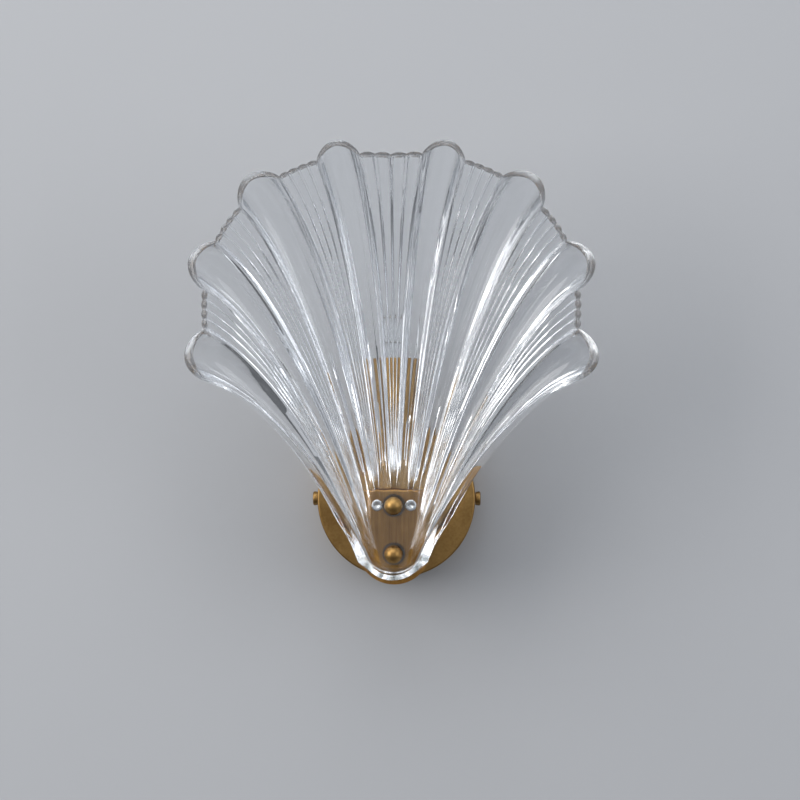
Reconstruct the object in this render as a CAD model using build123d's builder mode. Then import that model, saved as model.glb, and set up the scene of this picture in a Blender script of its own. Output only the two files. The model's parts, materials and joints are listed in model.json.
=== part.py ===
from build123d import *
from math import cos, pi, radians, sin, sqrt, tanh
import os

os.makedirs("parts", exist_ok=True)

# A wall light: a shell of thick clear glass stands on a brass bracket in front of a small
# capsule bulb, and a round canopy covers the wall fixing and the wiring.
#
# The origin is the canopy's centre on the wall. +X is to the viewer's right and +Z is up.
# The wall is the plane y = 0, and everything stands off it towards -Y. A "depth" is a
# distance from the wall, so the sketches lie on Plane.XZ.offset(depth).

# ---------------------------------------------------------------- driving dimensions, mm

# Canopy
canopy_diameter = 100.0
canopy_depth = 25.0
canopy_wall = 1.5
canopy_edge_radius = 1.2

# Fits between pieces
slip = 0.05          # radial, for a screw or stud in its own tapped hole
pass_gap = 0.25      # radial, for a screw that passes a clear hole
seat_gap = 0.3       # between pieces that lie beside each other

# Crossbar behind the canopy
strap_height = 18.0
strap_thickness = 2.0
tab_depth = 19.0
slot_spacing = 64.0
slot_length = 12.0
slot_width = 4.5
cable_hole_diameter = 11.0

# Thumb screws on the canopy's edge
thumb_depth = 13.0
thumb_shank_diameter = 4.0
thumb_shank_length = 6.5
thumb_head_diameter = 9.0
thumb_head_height = 3.4

# Earth screw on the crossbar
earth_offset = 19.5
earth_shank_diameter = 4.0
earth_head_diameter = 7.0
earth_head_height = 2.4
earth_washer_diameter = 9.0
earth_washer_thickness = 0.8

# Terminal block on the crossbar
block_inner_edge = 9.0
block_width = 16.0
block_height = 16.0
block_depth = 11.0
block_pole_spacing = 8.0
block_wire_hole_diameter = 2.6
block_screw_diameter = 3.6
block_screw_length = 2.6
block_screw_offset = 4.2
block_screw_sink = 1.0

# Post from the canopy to the bracket
post_length = 35.5
post_width = 32.0
post_height = 16.0
post_drop = 2.5      # the post's axis lies this far under the canopy's centre
wire_bore_diameter = 8.0

# Hollow threaded tube, for the wires, in two lengths
tube_diameter = 10.0
tube_bore = 7.0
nipple_in_post = 8.0
nipple_in_canopy = 9.0
nut_across_flats = 14.0
nut_height = 3.5

# Grommet on the wiring end of the nipple
grommet_collar = 1.4
grommet_spigot = 4.0
grommet_bore = 5.0

# Bracket: a tongue behind the glass and a shelf over the post
bracket_thickness = 2.0
tongue_width = 46.0
tongue_below_stud = 19.2   # from the lower stud's axis to the tongue's lowest point
shelf_width = 30.0
shelf_reach = 32.0   # from the tongue's front, back over the post
bend_radius = 1.6

# Screws that hold the bracket on the post
bracket_screw_spacing = 21.0
bracket_screw_diameter = 4.0
bracket_screw_length = 10.0
bracket_screw_head = 7.5
bracket_screw_head_height = 1.8
bracket_screw_recess = 0.8

# Studs, ball nuts and washers that hold the glass
stud_diameter = 6.0
stud_spacing = 30.0
stud_in_post = 8.0
stud_in_ball = 7.0
stud_tail = 1.0
hex_nut_across_flats = 10.0
hex_nut_height = 5.0
gasket_diameter = 14.0
gasket_thickness = 3.0
washer_diameter = 13.0
washer_thickness = 1.0
bush_wall = 0.8
ball_diameter = 11.4
ball_seat_diameter = 7.6

# Lamp cup, stem and lampholder
cup_diameter = 28.0
cup_height = 82.0
cup_wall = 1.0
cup_base = 2.5
cup_from_tongue = 17.0   # from the tongue's back to the cup's axis
cup_edge_radius = 0.8
stem_in_post = 6.0
stem_height = 50.0       # from the shelf to the bridge
bridge_diameter = 24.0
bridge_thickness = 1.5
socket_diameter = 22.0
socket_height = 26.0
socket_recess_diameter = 12.0
socket_recess_depth = 7.0
socket_well_depth = 12.0
socket_screw_offset = 7.6
socket_screw_diameter = 3.0
socket_screw_head = 5.4
socket_screw_head_height = 1.8
pin_spacing = 9.0
contact_diameter = 3.0
contact_length = 6.0

# Capsule bulb
bulb_diameter = 14.0
bulb_body_length = 31.0
bulb_wall = 0.9
bulb_foot_width = 13.4
bulb_foot_thickness = 3.8
bulb_foot_length = 13.0
pin_diameter = 1.0
pin_length = 5.6
filament_height = 13.0   # above the foot
filament_diameter = 1.2
lead_diameter = 0.6

# Wires
wire_diameter = 1.8
wire_spacing = 2.6
wire_slack = 7.0         # how far the wires hang under the terminal block
wire_bend = 2.6          # least radius of a wide turn
wire_bend_tight = 1.5

# Glass shell, as seen from the front
flute_count = 8
ripples_per_group = 4
flute_pitch = 25.7           # degrees from one flute to the next, about the rim's centre
middle_spread = 2.3          # degrees that each half is turned away from the middle
rim_centre_height = 96.3     # above the canopy's centre
rim_radius_top = 112.0
rim_radius_shoulder = 121.0
rim_radius_side = 108.5
shoulder_angle = 53.0
swing_power_inside = 1.15    # how steeply the rim's radius grows from the middle
swing_power_outside = 3.0    # and shrinks again past the shoulder
flute_outset = 3.0
middle_ripple_share = 0.58   # share of the pitch that a ripple group takes at the rim
side_ripple_share = 0.45
edge_across = 3.88           # pitches from the middle to the shell's side edges
foot_below_stud = 12.0       # from the lower stud's axis to the glass's foot
root_radius = 18.0
root_half_angle = 56.0
root_lean = 22.0
rib_rise_middle = 80.0
rib_rise_side = 38.0
rib_run_middle = 70.0
rib_run_side = 40.0
middle_blend = 0.1           # keeps the two halves from meeting in a crease
rib_turn_limit = 76.0        # degrees, the most that an outer rib turns from upright

# Glass shell, as seen from the side
floor_thickness = 6.0
rim_thickness = 2.6
lean_depth = 38.0
lean_start = 0.20
lean_power = 1.6
flare_depth = 11.0
flare_power = 14.0
wall_height = 14.0
wall_inner = 0.40            # where the side walls start to rise, of the way to the edge
wall_power = 1.6
lip_share = 0.02             # share of a rib's length that climbs the wall at the foot
lip_thinning = 0.45          # and how much thinner the glass is at its top than on the floor
flute_depth_low = 0.18       # each in half widths of the flute
flute_depth_rim = 0.52
lens_depth_low = 0.55
lens_depth_rim = 0.34
ripple_depth = 0.30          # in half widths of the ripple
group_share_at_foot = 0.22   # width of a ripple group at the foot, of its width at the rim
group_power = 0.8
flute_start = 0.08           # where along a rib the flutes start
middle_start_later = 0.12    # and how much later in the two middle flutes
middle_until = 1.9           # pitches from the middle
middle_fade = 0.5
flute_growth = 0.18
flute_power = 2.5            # how late the flutes reach their depth at the rim
thick_until = 0.6            # where along a rib the glass has thinned to the rim's thickness

# ---------------------------------------------------------------- places worked out

canopy_radius = canopy_diameter / 2
canopy_inner_radius = canopy_radius - canopy_wall
canopy_inside_depth = canopy_depth - canopy_wall
strap_half_length = sqrt(canopy_inner_radius**2 - (strap_height / 2) ** 2) - seat_gap
axis_z = -post_drop
tongue_back = canopy_depth + post_length
tongue_front = tongue_back + bracket_thickness
glass_back = tongue_front + gasket_thickness
glass_front = glass_back + floor_thickness
washer_front = glass_front + slip + washer_thickness
lower_stud_z = axis_z - stud_spacing
shelf_top = axis_z + post_height / 2 + bracket_thickness
cup_depth = tongue_back - cup_from_tongue
cup_floor = shelf_top + cup_base
bridge_z = shelf_top + stem_height
socket_z = bridge_z + bridge_thickness
socket_top = socket_z + socket_height
well_floor = socket_top - socket_well_depth
recess_top = socket_z + socket_recess_depth
bulb_foot_z = well_floor + seat_gap
bulb_body_z = bulb_foot_z + bulb_foot_length
bush_diameter = stud_diameter + 2 * (pass_gap + bush_wall)
glass_hole_diameter = bush_diameter + 2 * pass_gap
ball_radius = ball_diameter / 2
ball_rise = sqrt(ball_radius**2 - (ball_seat_diameter / 2) ** 2)
ball_depth = washer_front + ball_rise
nipple_end = canopy_inside_depth - nipple_in_canopy
root_centre_z = lower_stud_z - foot_below_stud + root_radius


def stand_off(depth):
    """The plane at this distance from the wall, seen from the room."""
    return Plane.XZ.offset(depth)


def level(height):
    """The level plane at this height, under the lamp cup's axis."""
    return Plane((0, -cup_depth, height), x_dir=(1, 0, 0), z_dir=(0, 0, 1))


def save(piece, name):
    """Labels a finished piece and writes it to its own file."""
    piece.part.label = name
    export_step(piece.part, f"parts/{name}.step")


# ---------------------------------------------------------------- canopy and crossbar

with BuildPart() as canopy:
    with BuildSketch(Plane.XZ):
        Circle(canopy_radius)
    extrude(amount=canopy_depth)
    fillet(canopy.faces().sort_by(Axis.Y)[0].edges(), canopy_edge_radius)
    with BuildSketch(Plane.XZ):
        Circle(canopy_inner_radius)
    extrude(amount=canopy_inside_depth, mode=Mode.SUBTRACT)
    with BuildSketch(stand_off(canopy_inside_depth)):
        with Locations((0, axis_z)):
            Circle(tube_diameter / 2 + pass_gap)
    extrude(amount=canopy_wall, mode=Mode.SUBTRACT)
    with BuildSketch(Plane.YZ):
        with Locations((-thumb_depth, 0)):
            Circle(thumb_shank_diameter / 2 + pass_gap)
    extrude(amount=canopy_radius, both=True, mode=Mode.SUBTRACT)
save(canopy, "canopy")

# The crossbar is a flat strap on the wall. Its ends turn forward, inside the canopy's
# wall, and are tapped for the thumb screws.
with BuildPart() as wall_crossbar:
    with BuildSketch(Plane.XZ):
        Rectangle(2 * strap_half_length, strap_height)
    extrude(amount=strap_thickness)
    with BuildSketch(Plane.XZ):
        with Locations(
            (-strap_half_length + strap_thickness / 2, 0),
            (strap_half_length - strap_thickness / 2, 0),
        ):
            Rectangle(strap_thickness, strap_height)
    extrude(amount=tab_depth)
    fillet(wall_crossbar.edges().filter_by(Axis.X).group_by(Axis.Y)[0], strap_thickness)
    with BuildSketch(Plane.XZ):
        with Locations((-slot_spacing / 2, 0), (slot_spacing / 2, 0)):
            SlotOverall(slot_length, slot_width)
        Circle(cable_hole_diameter / 2)
        with Locations((-earth_offset, 0)):
            Circle(earth_shank_diameter / 2 + slip)
    extrude(amount=strap_thickness, mode=Mode.SUBTRACT)
    with BuildSketch(Plane.YZ):
        with Locations((-thumb_depth, 0)):
            Circle(thumb_shank_diameter / 2 + slip)
    extrude(amount=strap_half_length, both=True, mode=Mode.SUBTRACT)
save(wall_crossbar, "wall_crossbar")

with BuildPart() as earth_washer:
    with BuildSketch(stand_off(strap_thickness)):
        with Locations((-earth_offset, 0)):
            Circle(earth_washer_diameter / 2)
            Circle(earth_shank_diameter / 2 + slip, mode=Mode.SUBTRACT)
    extrude(amount=earth_washer_thickness)
save(earth_washer, "earth_washer")

earth_head_depth = strap_thickness + earth_washer_thickness
with BuildPart() as earth_screw:
    with BuildSketch(stand_off(seat_gap)):
        with Locations((-earth_offset, 0)):
            Circle(earth_shank_diameter / 2)
    extrude(amount=earth_head_depth - seat_gap)
    with BuildSketch(stand_off(earth_head_depth)):
        with Locations((-earth_offset, 0)):
            Circle(earth_head_diameter / 2)
    extrude(amount=earth_head_height)
    fillet(earth_screw.faces().sort_by(Axis.Y)[0].edges(), earth_head_height / 3)
    with BuildSketch(stand_off(earth_head_depth + earth_head_height)):
        with Locations((-earth_offset, 0)):
            Rectangle(earth_head_diameter, earth_head_height / 2)
    extrude(amount=-earth_head_height / 2, mode=Mode.SUBTRACT)
save(earth_screw, "earth_screw")

# A thumb screw passes the canopy's wall and turns in the crossbar's tab.
for side, name in ((-1, "left_thumb_screw"), (1, "right_thumb_screw")):
    outward = Plane((side * canopy_radius, -thumb_depth, 0), x_dir=(0, 0, 1), z_dir=(side, 0, 0))
    with BuildPart() as thumb_screw:
        with BuildSketch(outward.offset(slip)):
            Circle(thumb_head_diameter / 2)
        extrude(amount=thumb_head_height)
        fillet(thumb_screw.edges().group_by(Axis.X)[-1 if side > 0 else 0], thumb_head_height / 2)
        with BuildSketch(outward.offset(slip)):
            Circle(thumb_shank_diameter / 2)
        extrude(amount=-thumb_shank_length)
    save(thumb_screw, name)

# ---------------------------------------------------------------- terminal block

block_x = block_inner_edge + block_width / 2
pole_places = [(block_x + side * block_pole_spacing / 2, 0) for side in (-1, 1)]
pole_depth = strap_thickness + block_depth / 2
block_front = strap_thickness + block_depth

with BuildPart() as terminal_block:
    with BuildSketch(stand_off(strap_thickness)):
        with Locations((block_x, 0)):
            RectangleRounded(block_width, block_height, 1.0)
    extrude(amount=block_depth)
    with BuildSketch(Plane.XY.offset(-block_height / 2)):
        with Locations([(x, -pole_depth) for x, z in pole_places]):
            Circle(block_wire_hole_diameter / 2)
    extrude(amount=block_height, mode=Mode.SUBTRACT)
    with BuildSketch(stand_off(block_front)):
        with Locations([(x, z + end * block_screw_offset) for x, z in pole_places for end in (-1, 1)]):
            Circle(block_screw_diameter / 2 + slip)
    extrude(amount=-(block_screw_sink + block_screw_length), mode=Mode.SUBTRACT)
save(terminal_block, "terminal_block")

with BuildPart() as terminal_screws:
    for x, z in pole_places:
        for end in (-1, 1):
            with BuildSketch(stand_off(block_front - block_screw_sink)):
                with Locations((x, z + end * block_screw_offset)):
                    Circle(block_screw_diameter / 2)
            extrude(amount=-block_screw_length)
            with BuildSketch(stand_off(block_front - block_screw_sink)):
                with Locations((x, z + end * block_screw_offset)):
                    Rectangle(block_screw_diameter, block_screw_diameter / 5)
            extrude(amount=-block_screw_length / 3, mode=Mode.SUBTRACT)
save(terminal_screws, "terminal_screws")

# ---------------------------------------------------------------- post, nipple and nut

screw_places = [(side * bracket_screw_spacing / 2, axis_z) for side in (-1, 1)]

with BuildPart() as post:
    with BuildSketch(stand_off(canopy_depth)):
        with Locations((0, axis_z)):
            SlotOverall(post_width, post_height)
    extrude(amount=post_length)
    with BuildSketch(stand_off(canopy_depth)):
        with Locations((0, axis_z)):
            Circle(tube_diameter / 2 + slip)
    extrude(amount=nipple_in_post, mode=Mode.SUBTRACT)
    with BuildSketch(stand_off(canopy_depth)):
        with Locations((0, axis_z)):
            Circle(wire_bore_diameter / 2)
    extrude(amount=cup_depth - canopy_depth, mode=Mode.SUBTRACT)
    with BuildSketch(level(axis_z)):
        Circle(wire_bore_diameter / 2)
    extrude(amount=post_height, mode=Mode.SUBTRACT)
    with BuildSketch(level(axis_z + post_height / 2)):
        Circle(tube_diameter / 2 + slip)
    extrude(amount=-stem_in_post, mode=Mode.SUBTRACT)
    with BuildSketch(stand_off(tongue_back)):
        with Locations(screw_places):
            Circle(bracket_screw_diameter / 2 + slip)
    extrude(amount=-(bracket_screw_length - bracket_thickness + seat_gap), mode=Mode.SUBTRACT)
    with BuildSketch(stand_off(tongue_back)):
        with Locations((0, axis_z)):
            Circle(stud_diameter / 2 + slip)
    extrude(amount=-stud_in_post, mode=Mode.SUBTRACT)
save(post, "post")

with BuildPart() as post_nipple:
    with BuildSketch(stand_off(nipple_end)):
        with Locations((0, axis_z)):
            Circle(tube_diameter / 2)
            Circle(tube_bore / 2, mode=Mode.SUBTRACT)
    extrude(amount=canopy_depth + nipple_in_post - nipple_end)
save(post_nipple, "post_nipple")

with BuildPart() as post_nut:
    with BuildSketch(stand_off(canopy_inside_depth - nut_height)):
        with Locations((0, axis_z)):
            RegularPolygon(nut_across_flats / 2, 6, major_radius=False)
            Circle(tube_diameter / 2 + slip, mode=Mode.SUBTRACT)
    extrude(amount=nut_height)
save(post_nut, "post_nut")

with BuildPart() as wire_grommet:
    with BuildSketch(stand_off(nipple_end - grommet_collar)):
        with Locations((0, axis_z)):
            Circle(tube_diameter / 2)
    extrude(amount=grommet_collar)
    with BuildSketch(stand_off(nipple_end)):
        with Locations((0, axis_z)):
            Circle(tube_bore / 2 - slip)
    extrude(amount=grommet_spigot)
    with BuildSketch(stand_off(nipple_end - grommet_collar)):
        with Locations((0, axis_z)):
            Circle(grommet_bore / 2)
    extrude(amount=grommet_collar + grommet_spigot, mode=Mode.SUBTRACT)
save(wire_grommet, "wire_grommet")

# ---------------------------------------------------------------- bracket and its screws

tongue_radius = tongue_width / 2
tongue_round_z = lower_stud_z - tongue_below_stud + tongue_radius

with BuildPart() as shell_bracket:
    with BuildSketch(stand_off(tongue_back)):
        with Locations((0, (shelf_top + tongue_round_z) / 2)):
            Rectangle(tongue_width, shelf_top - tongue_round_z)
        with Locations((0, tongue_round_z)):
            Circle(tongue_radius)
    extrude(amount=bracket_thickness)
    with BuildSketch(Plane.XY.offset(shelf_top)):
        with Locations((0, -tongue_front + shelf_reach / 2)):
            Rectangle(shelf_width, shelf_reach)
    extrude(amount=-bracket_thickness)
    fillet(
        shell_bracket.edges().filter_by(Axis.X).group_by(Axis.Z)[-1].sort_by(Axis.Y)[0],
        bend_radius,
    )
    with BuildSketch(stand_off(tongue_back)):
        with Locations(screw_places):
            Circle(bracket_screw_diameter / 2 + pass_gap)
        with Locations((0, axis_z), (0, lower_stud_z)):
            Circle(stud_diameter / 2 + pass_gap)
    extrude(amount=bracket_thickness, mode=Mode.SUBTRACT)
    with BuildSketch(level(shelf_top)):
        Circle(tube_diameter / 2 + pass_gap)
    extrude(amount=-bracket_thickness, mode=Mode.SUBTRACT)
save(shell_bracket, "shell_bracket")

with BuildPart() as bracket_screws:
    for x, z in screw_places:
        with BuildSketch(stand_off(tongue_front)):
            with Locations((x, z)):
                Circle(bracket_screw_diameter / 2)
        extrude(amount=-bracket_screw_length)
        with BuildSketch(stand_off(tongue_front)):
            with Locations((x, z)):
                Circle(bracket_screw_head / 2)
        extrude(amount=bracket_screw_head_height)
    fillet(bracket_screws.edges().group_by(Axis.Y)[0], bracket_screw_head_height * 0.6)
    for x, z in screw_places:
        with BuildSketch(stand_off(tongue_front + bracket_screw_head_height)):
            with Locations((x, z)):
                Rectangle(bracket_screw_head / 2, bracket_screw_recess)
                Rectangle(bracket_screw_recess, bracket_screw_head / 2)
        extrude(amount=-bracket_screw_head_height / 2, mode=Mode.SUBTRACT)
save(bracket_screws, "bracket_screws")

# ---------------------------------------------------------------- glass fixings

stud_end = washer_front + stud_in_ball

with BuildPart() as upper_stud:
    with BuildSketch(stand_off(tongue_back - stud_in_post + seat_gap)):
        with Locations((0, axis_z)):
            Circle(stud_diameter / 2)
    extrude(amount=stud_end - tongue_back + stud_in_post - seat_gap)
    chamfer(upper_stud.edges(), stud_diameter / 12)
save(upper_stud, "upper_stud")

stud_start = tongue_back - hex_nut_height - stud_tail
with BuildPart() as lower_stud:
    with BuildSketch(stand_off(stud_start)):
        with Locations((0, lower_stud_z)):
            Circle(stud_diameter / 2)
    extrude(amount=stud_end - stud_start)
    chamfer(lower_stud.edges(), stud_diameter / 12)
save(lower_stud, "lower_stud")

with BuildPart() as stud_nut:
    with BuildSketch(stand_off(tongue_back - hex_nut_height)):
        with Locations((0, lower_stud_z)):
            RegularPolygon(hex_nut_across_flats / 2, 6, major_radius=False)
            Circle(stud_diameter / 2 + slip, mode=Mode.SUBTRACT)
    extrude(amount=hex_nut_height)
save(stud_nut, "stud_nut")

stud_places = [(0, axis_z), (0, lower_stud_z)]

with BuildPart() as rear_gaskets:
    with BuildSketch(stand_off(tongue_front)):
        with Locations(stud_places):
            Circle(gasket_diameter / 2)
            Circle(stud_diameter / 2 + pass_gap, mode=Mode.SUBTRACT)
        # Each washer leaves room for the heads of the screws beside it.
        with Locations(screw_places):
            Circle(bracket_screw_head / 2 + seat_gap, mode=Mode.SUBTRACT)
    extrude(amount=gasket_thickness - slip)
save(rear_gaskets, "rear_gaskets")

with BuildPart() as glass_bushes:
    with BuildSketch(stand_off(glass_back)):
        with Locations(stud_places):
            Circle(bush_diameter / 2)
            Circle(stud_diameter / 2 + pass_gap, mode=Mode.SUBTRACT)
    extrude(amount=floor_thickness)
save(glass_bushes, "glass_bushes")

with BuildPart() as front_washers:
    with BuildSketch(stand_off(glass_front + slip)):
        with Locations(stud_places):
            Circle(washer_diameter / 2)
            Circle(stud_diameter / 2 + pass_gap, mode=Mode.SUBTRACT)
    extrude(amount=washer_thickness)
save(front_washers, "front_washers")

# A ball nut is a brass ball with a flat seat and a blind tapped hole.
for z, name in ((axis_z, "upper_ball_nut"), (lower_stud_z, "lower_ball_nut")):
    with BuildPart() as ball_nut:
        with Locations((0, -ball_depth, z)):
            Sphere(ball_radius)
        split(bisect_by=stand_off(washer_front + slip), keep=Keep.TOP)
        with BuildSketch(stand_off(washer_front)):
            with Locations((0, z)):
                Circle(stud_diameter / 2 + slip)
        extrude(amount=stud_in_ball + seat_gap, mode=Mode.SUBTRACT)
    save(ball_nut, name)

# ---------------------------------------------------------------- glass shell

# The shell is worked out on a net of ribs. "across" counts flute pitches from the middle,
# and "along" runs from 0 at the foot to 1 at the rim. Groups of ripples lie at whole
# numbers across, and the flutes' middles lie about halfway between them.
outer_flute = (flute_count - 1) / 2


def ease(value):
    """A smooth step from 0 to 1."""
    value = min(max(value, 0.0), 1.0)
    return value * value * (3 - 2 * value)


def group_half_width(group, along):
    """Half the share of the pitch that a group of ripples takes."""
    share = side_ripple_share if group else middle_ripple_share
    return share / 2 * (group_share_at_foot + (1 - group_share_at_foot) * along) ** group_power


def flute_of(across):
    """The number of the flute that lies here, such as 0.5 for the one beside the middle."""
    return min(int(abs(across)) + 0.5, outer_flute)


def flute_middle_and_half(flute, along):
    """How far across a flute's middle is, and half its width."""
    inner = flute - 0.5 + group_half_width(flute - 0.5, along)
    outer = edge_across
    if flute < outer_flute:
        outer = flute + 0.5 - group_half_width(flute + 0.5, along)
    return (inner + outer) / 2, (outer - inner) / 2


def flute_swell(across, along):
    """How deep a flute is here, 0 at its edges and 1 in its middle."""
    middle, half = flute_middle_and_half(flute_of(across), along)
    return max(1 - ((abs(across) - middle) / half) ** 2, 0.0)


def ripple_swell(across, along):
    """How high a ripple stands here, 0 in its valleys and 1 on its crest."""
    group = round(across)
    beside = (across - group) / group_half_width(group, along)
    if abs(beside) > 1 or abs(group) > flute_count / 2 - 1:
        return 0.0
    return sin(pi * ripples_per_group * (beside + 1) / 2) ** 2


def rim_angle(across):
    """The direction in which the rim lies from its centre, in radians from upright."""
    return radians(flute_pitch * across + middle_spread * tanh(across / 0.4))


def bowl_point(across, along):
    """A point on the bowl's smooth inner face, before it is fluted."""
    share = across / edge_across
    angle = rim_angle(across)
    foot_angle = radians(root_half_angle * share)
    foot_x = root_radius * sin(foot_angle)
    foot_z = root_centre_z - root_radius * cos(foot_angle)
    swing = abs(sin(angle * 90 / shoulder_angle))
    if abs(angle) < radians(shoulder_angle):
        low_radius, power = rim_radius_top, swing_power_inside
    else:
        low_radius, power = rim_radius_side, swing_power_outside
    radius = low_radius + (rim_radius_shoulder - low_radius) * swing**power
    rim_x, rim_z = radius * sin(angle), rim_centre_height + radius * cos(angle)
    turn = radians(rib_turn_limit) * tanh(angle / radians(rib_turn_limit))
    aside = sqrt(share**2 + middle_blend**2)
    rise = rib_rise_middle + (rib_rise_side - rib_rise_middle) * aside
    run = rib_run_middle + (rib_run_side - rib_run_middle) * aside
    start = radians(root_lean * share)
    low_x, low_z = foot_x + rise * sin(start), foot_z + rise * cos(start)
    high_x, high_z = rim_x - run * sin(turn), rim_z - run * cos(turn)
    weights = (
        (1 - along) ** 3,
        3 * along * (1 - along) ** 2,
        3 * along**2 * (1 - along),
        along**3,
    )
    x = sum(w * v for w, v in zip(weights, (foot_x, low_x, high_x, rim_x)))
    z = sum(w * v for w, v in zip(weights, (foot_z, low_z, high_z, rim_z)))

    climb = max(along - lean_start, 0.0) / (1 - lean_start)
    depth = glass_front + lean_depth * climb**lean_power + flare_depth * along**flare_power
    side_wall = max((abs(share) - wall_inner) / (1 - wall_inner), 0.0) ** wall_power
    foot_wall = max(1 - along / lip_share, 0.0) ** 2
    depth += wall_height * (1 - along) * (1 - (1 - side_wall) * (1 - foot_wall))
    return Vector(x, -depth, z)


# Slopes are taken over a small step, just inside the shell's edges.
slope_step = 0.004
slope_edge = 0.985 * edge_across
slope_foot, slope_rim = 0.003, 0.998


def bowl_normal(across, along):
    """The direction through the glass here, towards the wall."""
    near = min(abs(across), slope_edge) * (1 if across > 0 else -1)
    up = min(max(along, slope_foot), slope_rim)
    sideways = bowl_point(near + slope_step, up) - bowl_point(near - slope_step, up)
    upwards = bowl_point(near, up + slope_step / 2) - bowl_point(near, up - slope_step / 2)
    normal = upwards.cross(sideways).normalized()
    return normal if normal.Y > 0 else normal * -1


def glass_point(across, along, back):
    """A point on the shell's front face, or on its back face."""
    inner = min(abs(across), slope_edge)
    sideways = bowl_point(inner + slope_step, along) - bowl_point(inner - slope_step, along)
    pitch_width = sideways.length / (2 * slope_step)
    flute_half = pitch_width * flute_middle_and_half(flute_of(across), along)[1]
    ripple_half = pitch_width * group_half_width(round(across), along) / ripples_per_group
    middle = ease((middle_until - abs(across)) / middle_fade)
    grow = ease((along - flute_start - middle_start_later * middle) / flute_growth)
    blend = along**flute_power
    flute = grow * (flute_depth_low + (flute_depth_rim - flute_depth_low) * blend)
    lens = grow * (lens_depth_low + (lens_depth_rim - lens_depth_low) * blend)
    swell = flute_half * flute_swell(across, along)
    ripple = ripple_depth * grow * ripple_half * ripple_swell(across, along)
    low_thickness = floor_thickness * (1 - lip_thinning * max(1 - along / lip_share, 0.0))
    thickness = rim_thickness + (low_thickness - rim_thickness) * (1 - ease(along / thick_until))
    if back:
        shift = thickness + (flute + lens) * swell + ripple
    else:
        shift = flute * swell - ripple
    outward = Vector(sin(rim_angle(across)), 0, cos(rim_angle(across)))
    outset = flute_outset * flute_swell(across, along) * along**2
    return bowl_point(across, along) + bowl_normal(across, along) * shift + outward * outset


# Ribs of the net run along every flute's edges and middle, and along each ripple's crest
# and valleys. Rows crowd together at the foot, where the wall rises from the floor.
flute_ribs = [step / 4 for step in range(-4, 4)]
ripple_ribs = [step / ripples_per_group for step in range(-ripples_per_group, ripples_per_group)]
rows = [0, 0.004, 0.008, 0.012, 0.016, 0.02, 0.024, 0.03, 0.04, 0.06, 0.09, 0.12, 0.16, 0.2, 0.24]
rows += [0.3 + 0.08 * step for step in range(8)] + [0.92, 0.97, 1]


def rib_across(rib, along):
    """Where a rib of the net lies on this row: the kind of rib, its group and its place."""
    kind, group, place = rib
    if kind == "ripple":
        return group + place * group_half_width(group, along)
    middle, half = flute_middle_and_half(abs(group), along)
    return (middle if group > 0 else -middle) + place * half


net = []
for flute in range(flute_count):
    number = flute - outer_flute
    net += [("flute", number, place) for place in flute_ribs]
    if number < outer_flute:
        net += [("ripple", number + 0.5, place) for place in ripple_ribs]
net.append(("flute", outer_flute, 1.0))


def rib_line(rib, back):
    """One rib of the shell's front or back face, from foot to rim."""
    return Edge.make_spline([glass_point(rib_across(rib, along), along, back) for along in rows])


def joined(first, second, end):
    """The straight edge between two ribs at their feet (0) or at the rim (1)."""
    return Edge.make_line(first @ end, second @ end)


front_ribs = [rib_line(rib, False) for rib in net]
back_ribs = [rib_line(rib, True) for rib in net]
skin = [Face.make_surface_from_curves(a, b) for a, b in zip(front_ribs, front_ribs[1:])]
skin += [Face.make_surface_from_curves(a, b) for a, b in zip(back_ribs, back_ribs[1:])]
for i in range(len(net) - 1):
    for end in (0, 1):
        skin.append(
            Face.make_surface_from_curves(
                joined(front_ribs[i], front_ribs[i + 1], end),
                joined(back_ribs[i], back_ribs[i + 1], end),
            )
        )
skin += [Face.make_surface_from_curves(front_ribs[i], back_ribs[i]) for i in (0, -1)]

with BuildPart() as glass_shell:
    add(Solid(Shell(skin)))
    with BuildSketch(stand_off(glass_back - floor_thickness)):
        with Locations(stud_places):
            Circle(glass_hole_diameter / 2)
    extrude(amount=3 * floor_thickness, mode=Mode.SUBTRACT)
save(glass_shell, "glass_shell")

# ---------------------------------------------------------------- lamp cup and lampholder

with BuildPart() as lamp_cup:
    with BuildSketch(level(shelf_top)):
        Circle(cup_diameter / 2)
    extrude(amount=cup_height)
    fillet(lamp_cup.faces().sort_by(Axis.Z)[0].edges(), cup_edge_radius)
    with BuildSketch(level(cup_floor)):
        Circle(cup_diameter / 2 - cup_wall)
    extrude(amount=cup_height, mode=Mode.SUBTRACT)
    with BuildSketch(level(shelf_top)):
        Circle(tube_diameter / 2 + pass_gap)
    extrude(amount=cup_base, mode=Mode.SUBTRACT)
save(lamp_cup, "lamp_cup")

stem_foot = axis_z + post_height / 2 - stem_in_post
with BuildPart() as lamp_stem:
    with BuildSketch(level(stem_foot)):
        Circle(tube_diameter / 2)
        Circle(tube_bore / 2, mode=Mode.SUBTRACT)
    extrude(amount=socket_z - stem_foot)
save(lamp_stem, "lamp_stem")

with BuildPart() as stem_nut:
    with BuildSketch(level(cup_floor)):
        RegularPolygon(nut_across_flats / 2, 6, major_radius=False)
        Circle(tube_diameter / 2 + slip, mode=Mode.SUBTRACT)
    extrude(amount=nut_height)
save(stem_nut, "stem_nut")

holder_screws = [(0, side * socket_screw_offset) for side in (-1, 1)]

with BuildPart() as socket_bridge:
    with BuildSketch(level(bridge_z)):
        Circle(bridge_diameter / 2)
        Circle(tube_diameter / 2 + slip, mode=Mode.SUBTRACT)
        with Locations(holder_screws):
            Circle(socket_screw_diameter / 2 + slip, mode=Mode.SUBTRACT)
    extrude(amount=bridge_thickness)
save(socket_bridge, "socket_bridge")

contact_places = [(side * pin_spacing / 2, 0) for side in (-1, 1)]
well_length = bulb_foot_width + 2 * seat_gap
well_width = bulb_foot_thickness + 2 * seat_gap

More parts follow.
